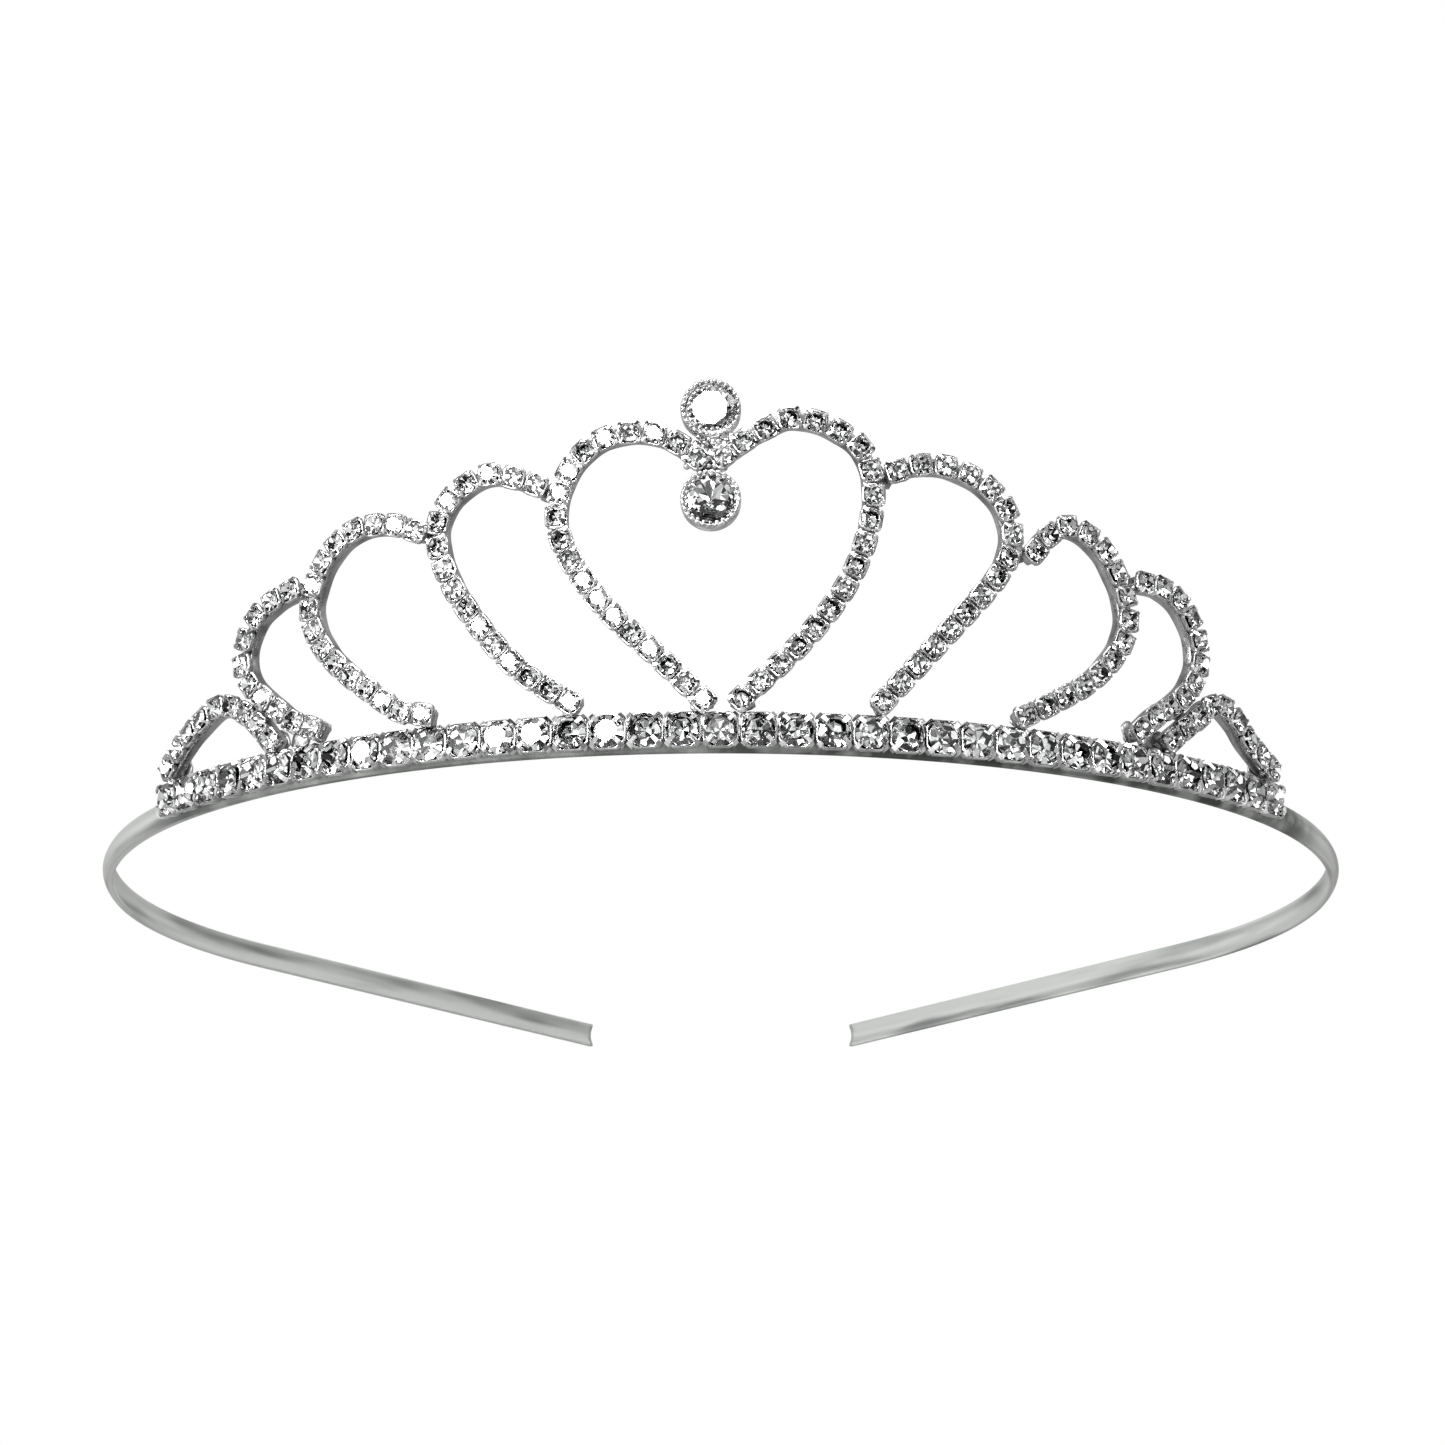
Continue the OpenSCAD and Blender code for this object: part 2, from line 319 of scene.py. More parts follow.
plating, p_in, p_out = new_group(
    "cloudy plating",
    [("Bright", "NodeSocketColor", (0.8, 0.8, 0.8, 1)),
     ("Dull", "NodeSocketColor", (0.4, 0.4, 0.4, 1)),
     ("Cloud scale", "NodeSocketFloat", 400.0),
     ("Fine scale", "NodeSocketFloat", 3000.0),
     ("Smooth", "NodeSocketFloat", 0.1),
     ("Rough", "NodeSocketFloat", 0.3)],
    [("Color", "NodeSocketColor"), ("Roughness", "NodeSocketFloat"),
     ("Height", "NodeSocketFloat")])
place = add(plating, "ShaderNodeTexCoord")
clouds = noise(plating, 400.0, 3.0)
fine = noise(plating, 3000.0)
tone = add(plating, "ShaderNodeMix", data_type="RGBA")
gloss = remap(plating, 0.35, 0.7)
contrast = remap(plating, 0.4, 0.68)
link = plating.links.new
link(place.outputs["Object"], clouds.inputs["Vector"])
link(place.outputs["Object"], fine.inputs["Vector"])
link(p_in.outputs["Cloud scale"], clouds.inputs["Scale"])
link(p_in.outputs["Fine scale"], fine.inputs["Scale"])
link(clouds.outputs["Fac"], contrast.inputs["Value"])
link(contrast.outputs["Result"], tone.inputs["Factor"])
link(p_in.outputs["Bright"], tone.inputs[6])
link(p_in.outputs["Dull"], tone.inputs[7])
link(fine.outputs["Fac"], gloss.inputs["Value"])
link(p_in.outputs["Smooth"], gloss.inputs["To Min"])
link(p_in.outputs["Rough"], gloss.inputs["To Max"])
link(tone.outputs[2], p_out.inputs["Color"])
link(gloss.outputs["Result"], p_out.inputs["Roughness"])
link(fine.outputs["Fac"], p_out.inputs["Height"])
print("group:", plating.name)


# %% Plated metals
def new_material(name):
    """A material with only a Principled shader, ready for links."""
    material = bpy.data.materials.new(name)
    material.use_nodes = True
    tree = material.node_tree
    return material, tree, tree.nodes["Principled BSDF"]


def plated(name, bright, dull, cloud_scale, fine_scale, smooth, rough, relief):
    """A metal whose colour, roughness and bump all come from the plating group."""
    material, tree, shader = new_material(name)
    shader.inputs["Metallic"].default_value = 1.0
    group = add(tree, "ShaderNodeGroup", node_tree=plating)
    values = {"Bright": (*bright, 1), "Dull": (*dull, 1), "Cloud scale": cloud_scale,
              "Fine scale": fine_scale, "Smooth": smooth, "Rough": rough}
    for title, value in values.items():
        group.inputs[title].default_value = value
    bump = add(tree, "ShaderNodeBump")
    bump.inputs["Strength"].default_value = relief
    bump.inputs["Distance"].default_value = 0.05 * MM
    tree.links.new(group.outputs["Color"], shader.inputs["Base Color"])
    tree.links.new(group.outputs["Roughness"], shader.inputs["Roughness"])
    tree.links.new(group.outputs["Height"], bump.inputs["Height"])
    tree.links.new(bump.outputs["Normal"], shader.inputs["Normal"])
    return material


def paint_cup_foot_shade(material, lowest):
    """Dims the colour towards the foot of a cup: painted shade for the recesses between the
    stones.

    The second number of the cup's pattern map is 0 at its foot and 1 at its rim."""
    tree = material.node_tree
    shader = tree.nodes["Principled BSDF"]
    color = shader.inputs["Base Color"].links[0].from_socket
    height = add(tree, "ShaderNodeUVMap", uv_map="pattern")
    parts = add(tree, "ShaderNodeSeparateXYZ")
    fade = remap(tree, 0.25, 0.85, lowest)
    dim = add(tree, "ShaderNodeMix", data_type="RGBA", blend_type="MULTIPLY")
    dim.inputs["Factor"].default_value = 1.0
    tree.links.new(height.outputs["UV"], parts.inputs["Vector"])
    tree.links.new(parts.outputs["Y"], fade.inputs["Value"])
    tree.links.new(color, dim.inputs[6])
    tree.links.new(fade.outputs["Result"], dim.inputs[7])
    tree.links.new(dim.outputs[2], shader.inputs["Base Color"])


cup_metal = plated("bright cup plating", (0.9, 0.9, 0.9), (0.6, 0.6, 0.6),
                   900, 4000, 0.06, 0.2, 0.3)
wire_metal = plated("soft wire plating", (0.5, 0.5, 0.505), (0.2, 0.2, 0.205),
                    300, 2500, 0.22, 0.42, 0.4)
# Painted shade: the cups' colour dims towards their foot, down in the recesses between stones.
paint_cup_foot_shade(cup_metal, 0.36)
bezel_metal = plated("bezel plating", (0.84, 0.84, 0.84), (0.45, 0.45, 0.45),
                     700, 3500, 0.08, 0.22, 0.3)
solder_metal = plated("flowed solder", (0.55, 0.55, 0.55), (0.25, 0.25, 0.26),
                      500, 1500, 0.28, 0.5, 0.8)

# %% [markdown]
# The headband is sprung steel, tumbled until it is pale and satin, and it has long soft
# stains where the plating bath drained along it. A noise squeezed across the strip gives
# both. It reads the strip's own pattern map, whose first number is the distance along the
# strip and whose second is the distance round its section, both in metres. From 64 mm left
# of the middle to 74 mm right of it, where the row sits over the strip, a painted shade
# makes it dark and mottled, more so to the right, away from the lamps.

# %% Headband steel
steel, tree, shader = new_material("satin headband steel")
shader.inputs["Metallic"].default_value = 1.0
strip_map = add(tree, "ShaderNodeUVMap", uv_map="pattern")
squeeze = add(tree, "ShaderNodeMapping")
squeeze.inputs["Scale"].default_value = (38.0, 420.0, 1.0)
stains = noise(tree, 1.0)
spread = remap(tree, 0.46, 0.72, curve="SMOOTHSTEP")
steel_tone = two_tones(tree, (0.83, 0.85, 0.82), (0.34, 0.36, 0.35))
steel_gloss = remap(tree, 0.0, 1.0, 0.3, 0.46)
along = add(tree, "ShaderNodeSeparateXYZ")
from_middle = add(tree, "ShaderNodeMath", operation="SUBTRACT")
from_middle.inputs[1].default_value = 5 * MM
distance = add(tree, "ShaderNodeMath", operation="ABSOLUTE")
# Painted shade under the row: the strip is darkened and mottled there, more so to the right.
under_row = remap(tree, 63 * MM, 75 * MM, 1.0, 0.0, "SMOOTHSTEP")
to_right = remap(tree, -45 * MM, 20 * MM, 0.6, 1.0, "SMOOTHSTEP")
mottle = noise(tree, 260.0, 4.0)
blotch = remap(tree, 0.38, 0.58, 0.45)
where = add(tree, "ShaderNodeMath", operation="MULTIPLY")
under_row_shade = add(tree, "ShaderNodeMath", operation="MULTIPLY")
# The dark colour of the painted shade under the row.
shade_tone = add(tree, "ShaderNodeMix", data_type="RGBA")
shade_tone.inputs[7].default_value = (0.1, 0.11, 0.1, 1)
grain = noise(tree, 2500.0)
relief = add(tree, "ShaderNodeBump")
relief.inputs["Strength"].default_value = 0.12
relief.inputs["Distance"].default_value = 0.02 * MM
place = add(tree, "ShaderNodeTexCoord")
link = tree.links.new
link(strip_map.outputs["UV"], squeeze.inputs["Vector"])
link(squeeze.outputs["Vector"], stains.inputs["Vector"])
link(stains.outputs["Fac"], spread.inputs["Value"])
link(spread.outputs["Result"], steel_tone.inputs["Factor"])
link(strip_map.outputs["UV"], along.inputs["Vector"])
link(along.outputs["X"], from_middle.inputs[0])
link(from_middle.outputs["Value"], distance.inputs[0])
link(distance.outputs["Value"], under_row.inputs["Value"])
link(along.outputs["X"], to_right.inputs["Value"])
link(place.outputs["Object"], mottle.inputs["Vector"])
link(mottle.outputs["Fac"], blotch.inputs["Value"])
link(under_row.outputs["Result"], where.inputs[0])
link(to_right.outputs["Result"], where.inputs[1])
link(where.outputs["Value"], under_row_shade.inputs[0])
link(blotch.outputs["Result"], under_row_shade.inputs[1])
link(under_row_shade.outputs["Value"], shade_tone.inputs["Factor"])
link(steel_tone.outputs[2], shade_tone.inputs[6])
link(shade_tone.outputs[2], shader.inputs["Base Color"])
link(stains.outputs["Fac"], steel_gloss.inputs["Value"])
link(steel_gloss.outputs["Result"], shader.inputs["Roughness"])
link(place.outputs["Object"], grain.inputs["Vector"])
link(grain.outputs["Fac"], relief.inputs["Height"])
link(relief.outputs["Normal"], shader.inputs["Normal"])
print("steel ready")

# %% [markdown]
# ## Stones
# A cheap bright stone is glass with a mirror foil on its pointed back. Light goes in
# through the top, bounces off the foil and comes out again, so the foil matters more than
# the glass. The top facets get a clear glass and the back facets a metal, on one closed
# mesh: inside the glass the rays meet the back facets as mirrors, as in the real thing.

# %% Glass and foil
glass, tree, shader = new_material("clear cut glass")
shader.inputs["Transmission Weight"].default_value = 1.0
shader.inputs["IOR"].default_value = 1.56
smudge = noise(tree, 700.0)
place = add(tree, "ShaderNodeTexCoord")
glass_tone = two_tones(tree, (1.0, 1.0, 1.0), (0.93, 0.95, 0.97))
polish = remap(tree, 0.5, 0.8, 0.0, 0.05)
tree.links.new(place.outputs["Object"], smudge.inputs["Vector"])
tree.links.new(smudge.outputs["Fac"], glass_tone.inputs["Factor"])
tree.links.new(glass_tone.outputs[2], shader.inputs["Base Color"])
tree.links.new(smudge.outputs["Fac"], polish.inputs["Value"])
tree.links.new(polish.outputs["Result"], shader.inputs["Roughness"])
foil = plated("silver foil", (0.97, 0.97, 0.97), (0.84, 0.84, 0.84),
              1500, 5000, 0.0, 0.05, 0.0)
print("glass and foil ready")


# %% [markdown]
# The small stones have the plainest cut there is: a table, eight facets down to the
# girdle, and eight to the point, turned half a step against the upper ones. The two large
# stones have a brilliant cut: an eight-sided table, eight kites, eight stars between them
# and sixteen small facets that reach the girdle. A kite is flat only if the star's tip
# lies in the kite's plane, which fixes how high that tip is.

# %% Cuts
EIGHTH = TAU / 8


def ring(radius, angles, height):
    """Corners on a level circle."""
    return np.stack([radius * np.cos(angles), radius * np.sin(angles),
                     np.full(len(angles), height)], axis=1)


def plain_cut(r, table_r, crown_h, girdle_h, back_h):
    """Corners, faces and face kinds (0 glass, 1 foil) of a small stone, girdle at 0."""
    k = np.arange(8)
    n = (k + 1) % 8
    top = girdle_h / 2
    corners = np.concatenate([
        ring(table_r, k * EIGHTH, top + crown_h), ring(r, k * EIGHTH, top),
        ring(r, (k + 0.5) * EIGHTH, -top), [[0.0, 0.0, -back_h]]])
    upper = np.stack([k, k + 8, n + 8, n], axis=1).tolist()
    band = np.concatenate([np.stack([k + 8, k + 16, n + 8], axis=1),
                           np.stack([n + 8, k + 16, n + 16], axis=1)]).tolist()
    lower = np.stack([k + 16, np.full(8, 24), n + 16], axis=1).tolist()
    faces = [k.tolist()] + upper + band + lower
    return corners, faces, [0] * 25 + [1] * 8


def brilliant(r, table_r, crown_h, girdle_h, back_h):
    """Corners, faces and face kinds (0 glass, 1 foil) of a large stone, girdle at 0.

    Corners lie on rings: the table's eight, the stars' eight tips half a step round, the
    girdle's sixteen above and below, eight half way down the back, and the point. The
    star tips' height is crown times (r - tip radius times cos 22.5 degrees) over
    (r - table radius), so that each kite is flat; the back follows the same rule."""
    k, k16 = np.arange(8), np.arange(16)
    tip_r, low_r = (table_r + r) / 2, 0.42 * r
    flat = np.cos(EIGHTH / 2)
    top = girdle_h / 2
    tip_z = top + crown_h * (r - tip_r * flat) / (r - table_r)
    low_z = -top - (back_h - top) * (1 - low_r / r * flat)
    corners = np.concatenate([
        ring(table_r, k * EIGHTH, top + crown_h), ring(tip_r, (k + 0.5) * EIGHTH, tip_z),
        ring(r, k16 * EIGHTH / 2, top), ring(r, k16 * EIGHTH / 2, -top),
        ring(low_r, (k + 0.5) * EIGHTH, low_z), [[0.0, 0.0, -back_h]]])
    n, p, point = (k + 1) % 8, (k - 1) % 8, np.full(8, 56)
    tip, up, up_next = k + 8, 16 + 2 * k, 16 + (2 * k + 2) % 16
    down, down_next, low = up + 16, up_next + 16, k + 48
    crown = [np.stack(face, axis=1).tolist() for face in (
        [n, k, tip], [k, p + 8, up, tip], [tip, up, up + 1], [tip, up + 1, up_next])]
    n16 = (k16 + 1) % 16
    band = np.stack([k16 + 16, k16 + 32, n16 + 32, n16 + 16], axis=1).tolist()
    back = [np.stack(face, axis=1).tolist() for face in (
        [down, p + 48, point, low], [down, low, down + 1], [down + 1, low, down_next])]
    faces = [k.tolist()] + sum(crown, []) + band + sum(back, [])
    return corners, faces, [0] * 49 + [1] * 24


def orient_outward(corners, faces):
    """Turns each face of a convex shape so that its normal points away from the middle."""
    middle = corners.mean(axis=0)
    turned = []
    for face in faces:
        p = corners[face]
        normal = np.cross(p[1] - p[0], p[2] - p[0])
        turned.append(face if normal @ (p.mean(axis=0) - middle) > 0 else face[::-1])
    return turned


def set_stones(name, flat, radius, cut, lean, replaced):
    """All the stones of one line as one piece, each leaning a little its own way."""
    corners, faces, kinds = cut
    faces = orient_outward(corners, faces)
    origin, x_axis, y_axis, z_axis = setting_frames(flat, radius)
    placed, all_faces = copies(corners, faces, origin,
                               *leaning(x_axis, y_axis, z_axis, lean))
    return make_piece(name, placed, all_faces, [glass, foil], replaced,
                      smooth=False, face_material=kinds * len(flat))


# %% [markdown]
# ## Cups
# A stamped cup is a square box with rounded corners, narrower at its foot, and it nearly
# touches its neighbours. Its wall rings are rounded squares: the cosine and sine of the
# turn, each raised to a small power with its sign kept. Four flat prongs stand at its
# corners and are bent in over the stone, so each is a short strip whose middle line rises
# up the corner and then leans towards the stone.

# %% Cup and prong shapes
CUP_SIDES = 12


def rounded_square(half_a, half_b, sides, power):
    """Half sizes times cosine and sine of the turn, each to a signed power."""
    a = (np.arange(sides) + 0.5) * TAU / sides
    c, s = np.cos(a), np.sin(a)
    return (half_a * np.sign(c) * np.abs(c) ** power,
            half_b * np.sign(s) * np.abs(s) ** power)


def cup_shape(half, bore, height):
    """Rings from the foot up the outside, over the rim and down inside to the floor."""
    square = np.stack(rounded_square(1, 1, CUP_SIDES, 0.5), axis=1)
    around = np.linalg.norm(square, axis=1)
    round_ = square / around[:, None]
    corner = (around - around.min()) / (around.max() - around.min())
    rings = [(0.82 * half * square, 0.0 * corner),
             (half * square, 0.3 * height + 0 * corner),
             (half * square, height * (0.7 + 0.12 * corner)),
             (bore * round_, height * (0.66 + 0.12 * corner)),
             (0.75 * bore * round_, 0.22 * height + 0 * corner)]
    corners = np.concatenate([np.column_stack([flat, z]) for flat, z in rings])
    faces = grid_faces(len(rings), CUP_SIDES)
    faces.append(list(range(CUP_SIDES))[::-1])
    last = (len(rings) - 1) * CUP_SIDES
    faces.append(list(range(last, last + CUP_SIDES)))
    return corners, faces


def prong_shapes(path, width, thick):
    """Four strips at the corners; path lists distances from the axis and heights.

    Each strip is a rectangle swept along its path. The rectangle's thin side points
    square to the path, and its width narrows towards the tip."""
    path = np.asarray(path)
    step = np.gradient(path, axis=0)
    step /= np.linalg.norm(step, axis=1)[:, None]
    count = len(path)
    wide = width * np.linspace(1.0, 0.62, count)
    across = np.array([-0.5, 0.5, 0.5, -0.5])
    through = np.array([-0.5, -0.5, 0.5, 0.5]) * thick
    radial = path[:, :1] + through[None, :] * step[:, 1:]
    rise = path[:, 1:] - through[None, :] * step[:, :1]
    side = wide[:, None] * across[None, :]
    shapes, faces = [], []
    for corner in np.radians([45, 135, 225, 315]):
        x = radial * np.cos(corner) - side * np.sin(corner)
        y = radial * np.sin(corner) + side * np.cos(corner)
        start = len(shapes) * count * 4
        shapes.append(np.stack([x, y, rise], axis=-1).reshape(-1, 3))
        strip = grid_faces(count, 4)
        strip.append([(count - 1) * 4 + k for k in range(4)])
        faces += [[v + start for v in f] for f in strip]
    return np.concatenate(shapes), faces


def set_cups(name, flat, radius, half, bore, height, path, width, thick, replaced):
    """All the cups of one line, prongs included, as one piece."""
    cup_corners, cup_faces = cup_shape(half, bore, height)
    prong_corners, prong_faces = prong_shapes(path, width, thick)
    step = len(cup_corners)
    corners = np.concatenate([cup_corners, prong_corners])
    faces = cup_faces + [[v + step for v in f] for f in prong_faces]
    origin, x_axis, y_axis, z_axis = setting_frames(flat, radius)
    placed, all_faces = copies(corners, faces, origin, x_axis, y_axis, z_axis)
    soft = [True] * len(cup_faces) + [False] * len(prong_faces)
    level = np.column_stack([np.zeros(len(corners)), corners[:, 2] / height])
    return make_piece(name, placed, all_faces, [cup_metal], replaced,
                      smooth=soft * len(flat), pattern=np.tile(level, (len(flat), 1)))


# %% Base row
ROW_BACK_H = 1.1 * MM
ROW_CUT = plain_cut(1.62 * MM, 1.1 * MM, 0.4 * MM, 0.12 * MM, ROW_BACK_H)
row_cup_r = band_r + 0.02 * MM
row_girdle_r = row_back_r + ROW_BACK_H
set_stones("row_stones_cut", row, row_girdle_r, ROW_CUT, 3.0, ["row_stones"])
set_cups("row_cups_stamped", row, row_cup_r, 1.72 * MM, 1.64 * MM, 1.85 * MM,
         np.array([(2.05, 0.6), (2.08, 1.5), (1.75, 1.9), (1.05, 2.12)]) * MM,
         0.58 * MM, 0.18 * MM, ["row_cups"])
print("row girdles at %.2f mm" % (row_girdle_r / MM))


# %% [markdown]
# ## Wires
# Each loop is one length of flat wire bent on edge, with its stones soldered along its
# front. Its section is a rounded rectangle, carried along a smooth line through its
# stones. The same power curve as for the cups gives the rounded rectangle.

# %% Sweeps on the drum
def smooth_line(flat, spacing, overrun):
    """A smooth line through places on the drum, run on straight past both ends.

    Between neighbours it is the cubic whose slopes are half the step between the
    neighbours on each side; it is then sampled at equal distances."""
    first = flat[0] + (flat[0] - flat[1]) / np.linalg.norm(flat[0] - flat[1]) * overrun
    last = flat[-1] + (flat[-1] - flat[-2]) / np.linalg.norm(flat[-1] - flat[-2]) * overrun
    knots = np.concatenate([[first], flat, [last]])
    slope = np.gradient(knots, axis=0)
    t = np.linspace(0, 1, 9)[:-1][None, :, None]
    a, b = knots[:-1, None, :], knots[1:, None, :]
    sa, sb = slope[:-1, None, :], slope[1:, None, :]
    curve = ((2 * t**3 - 3 * t**2 + 1) * a + (t**3 - 2 * t**2 + t) * sa
             + (3 * t**2 - 2 * t**3) * b + (t**3 - t**2) * sb).reshape(-1, 2)
    curve = np.concatenate([curve, knots[-1:]])
    run = np.concatenate([[0], np.cumsum(np.linalg.norm(np.diff(curve, axis=0), axis=1))])
    even = np.linspace(0, run[-1], int(run[-1] / spacing) + 1)
    return np.stack([np.interp(even, run, curve[:, k]) for k in (0, 1)], axis=1), even


def bend_wire(name, flat, back_r, front_r, half_w, overrun, replaced):
    """One wire as a sweep; its width wanders a hair, as bent by hand, and it thins at both ends.
    """
    line, run = smooth_line(flat, 0.35 * MM, overrun)
    step = np.gradient(line, axis=0)
    step /= np.linalg.norm(step, axis=1)[:, None]
    side = np.stack([-step[:, 1], step[:, 0]], axis=1)
    sides = 16
    across, through = rounded_square(half_w, (front_r - back_r) / 2, sides, 0.35)
    wobble = 1 + 0.03 * np.sin(run / MM * 1.9 + rng.uniform(0, TAU))
    taper = np.ones(len(run))
    taper[[0, -1]] = 0.8
    places = (line[:, None, :]
              + (across[None, :] * (wobble * taper)[:, None])[..., None] * side[:, None, :])
    radius = (front_r + back_r) / 2 + through[None, :] * taper[:, None]
    corners = on_drum(places[..., 0] / band_r, places[..., 1], radius).reshape(-1, 3)
    faces = grid_faces(len(run), sides)
    faces.append(list(range(sides))[::-1])
    end = (len(run) - 1) * sides
    faces.append(list(range(end, end + sides)))
    return make_piece(name, corners, faces, [wire_metal], replaced)


# %% The heart and the loops
STRIPS = [shape + side for shape in ("heart", "loop2", "loop3", "loop4", "loop5")
          for side in ("_left", "_right")]
GEM_BACK_H = 0.6 * MM
GEM_CUT = plain_cut(0.99 * MM, 0.69 * MM, 0.24 * MM, 0.08 * MM, GEM_BACK_H)
GEM_PRONG = np.array([(1.28, 0.3), (1.31, 0.8), (0.78, 1.12)]) * MM
WIRE_HALF_W = 0.8 * MM
WIRE_THICK = 1.2 * MM
WIRE_OVER = 0.8 * MM
for strip in STRIPS:
    spots = flat_places(strip + "_stones")
    foot_pull = 0.2 if "5" in strip else 0.0
    foot = spots[np.argmin(spots[:, 1] + foot_pull * np.abs(spots[:, 0]))]
    flat = in_order(spots, foot)
    stone_back = loose_solids(strip + "_stones")[1].min()
    wire_back = loose_solids(strip + "_wire")[1].min()
    wire_front = wire_back + WIRE_THICK
    bend_wire(strip + "_wire_bent", flat, wire_back, wire_front, WIRE_HALF_W, WIRE_OVER,
              [strip + "_wire"])
    set_cups(strip + "_cups_stamped", flat, wire_front, 1.14 * MM, 1.02 * MM, 0.95 * MM,
             GEM_PRONG, 0.34 * MM, 0.14 * MM, [strip + "_cups"])
    set_stones(strip + "_stones_cut", flat, stone_back + GEM_BACK_H, GEM_CUT, 4.5,
               [strip + "_stones"])
    print(strip, len(flat), "stones")

# %% [markdown]
# ## Headband
# One strip bent into an arc of about two thirds of a circle and two straight legs. The
# path is worked out by its length: on the arc the direction turns evenly, and on a leg it
# stays. The section is arched outside and hollow inside, with rounded edges.

# %% Sweep the headband
tip_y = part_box("headband")[1].y
HALF_ANGLE = np.radians(126.5)
leg_turn = HALF_ANGLE - np.pi / 2
leg_len = (tip_y - arc_centre[1] - band_r * np.sin(leg_turn)) / np.cos(leg_turn)
band_depth = band_r - loose_solids("headband")[1].min()
CROWN = 0.6 * MM


def band_path(spacing):
    """Distance along the strip from its middle, place and outward direction there."""
    half = band_r * HALF_ANGLE + leg_len
    run = np.linspace(-half, half, int(2 * half / spacing) + 1)
    angle = np.clip(run / band_r, -HALF_ANGLE, HALF_ANGLE)
    extra = run - angle * band_r
    spot = arc_centre + band_r * outward(angle) + extra[:, None] * rightward(angle)
    return run, spot, outward(angle)


def band_section(count=11):
    """Section points (out, height): the arched face going up, the hollow back going down.

    The face falls with the square of the height. The back is flat at its two edges and
    rises between them by half the crown, with the same kind of curve."""
    v = np.linspace(-1, 1, count)
    hollow = np.clip(1 - (v[::-1] / 0.77)**2, 0, 1)
    face = np.stack([-CROWN * v**2, v * band_h / 2], axis=1)
    back = np.stack([-band_depth + 0.5 * CROWN * hollow, v[::-1] * band_h / 2], axis=1)
    return np.concatenate([face, back])


def soften(loop, amount, rounds):
    """Rounds a closed outline: cuts each corner at a share of its two sides, repeatedly."""
    for _ in range(rounds):
        following = np.roll(loop, -1, axis=0)
        loop = np.stack([loop + amount * (following - loop),
                         following - amount * (following - loop)], axis=1).reshape(-1, 2)
    return loop


run, spot, out = band_path(0.8 * MM)
section = soften(band_section(), 0.22, 2)
section[:, 1] *= (band_h / 2) / np.abs(section[:, 1]).max()
corners = (spot[:, None, :] + section[None, :, :1] * out[:, None, :]
           + (section[:, 1] + band_h / 2)[None, :, None] * np.array([0, 0, 1.0]))
across = np.concatenate([[0], np.cumsum(np.linalg.norm(np.diff(section, axis=0), axis=1))])
pattern = np.stack(np.broadcast_arrays(run[:, None], across[None, :]), axis=-1)
sides = len(section)
faces = grid_faces(len(run), sides, flip=True)
faces.append(list(range(sides)))
faces.append(list(range((len(run) - 1) * sides, len(run) * sides))[::-1])
make_piece("headband_strip", corners.reshape(-1, 3), faces, [steel],
           ["headband"], pattern=pattern.reshape(-1, 2))
print("headband %.0f mm long" % ((run[-1] - run[0]) / MM), len(faces), "faces")

# %% [markdown]
# ## The two large stones
# Each sits in a turned bezel: a tapered tube whose rim is milled into two circles of
# beads, the inner ones pushed over the stone. The tube is a lathe surface.

# %% Bezels and large stones
BIG_CUT = brilliant(2.55 * MM, 1.75 * MM, 0.48 * MM, 0.1 * MM, 1.2 * MM)
BIG_GIRDLE_H = 1.64 * MM
BEZEL_R = 2.87 * MM
BEADS = 28


def ball_shape(rows=5, columns=8):
    """A unit ball: rings at equal turns from pole to pole, with a cap at each pole."""
    tilt = (np.arange(rows) + 0.5) * np.pi / rows
    a = np.arange(columns) * TAU / columns
    corners = np.concatenate([ring(np.sin(t), a, np.cos(t)) for t in tilt])
    faces = grid_faces(rows, columns, flip=True)
    faces.append(list(range(columns)))
    faces.append(list(range((rows - 1) * columns, rows * columns))[::-1])
    return corners, faces


def bezel_shape(lip):
    """Lathe surface of ring radii, as shares of the rim's, and heights, with its beads.

    The lip is how far in the rim reaches over the stone, as a share of its radius. The
    milled beads are balls in a circle on the rim, each a little longer along it."""
    columns = 48
    a = np.arange(columns) * TAU / columns
    rings = [(0.78, 0.0), (0.95, 0.35), (1.0, 0.7), (1.0, 1.6), (0.985, 1.85),
             (0.95, 1.95), (1 - lip, 1.93), (0.97 - lip, 1.8), (0.86, 1.5), (0.5, 0.5)]
    corners = [ring(BEZEL_R * share, a, z * MM) for share, z in rings]
    faces = grid_faces(len(rings), columns)
    faces.append(list(range(columns))[::-1])
    last = (len(rings) - 1) * columns
    faces.append(list(range(last, last + columns)))
    ball, ball_faces = ball_shape()
    for share, size, count in ((0.925, 0.21, BEADS), (0.96 - lip, 0.17, BEADS - 4)):
        turn_angle = (np.arange(count) + rng.uniform(0, 1)) * TAU / count
        out = ring(1.0, turn_angle, 0.0)
        side = np.stack([-out[:, 1], out[:, 0], 0 * turn_angle], axis=1)
        up_axis = np.tile([0.0, 0.0, 1.0], (count, 1))
        fat = size * MM * rng.uniform(0.85, 1.12, (count, 1))
        middle = BEZEL_R * share * out + (1.98 + 0.1 * (share > 0.9)) * MM * up_axis
        beads, bead_faces = copies(ball, ball_faces, middle, fat * out, fat * 1.25 * side,
                                   fat * up_axis)
        start = sum(len(c) for c in corners)
        corners.append(beads)
        faces += [[v + start for v in f] for f in bead_faces]
    return np.concatenate(corners), faces


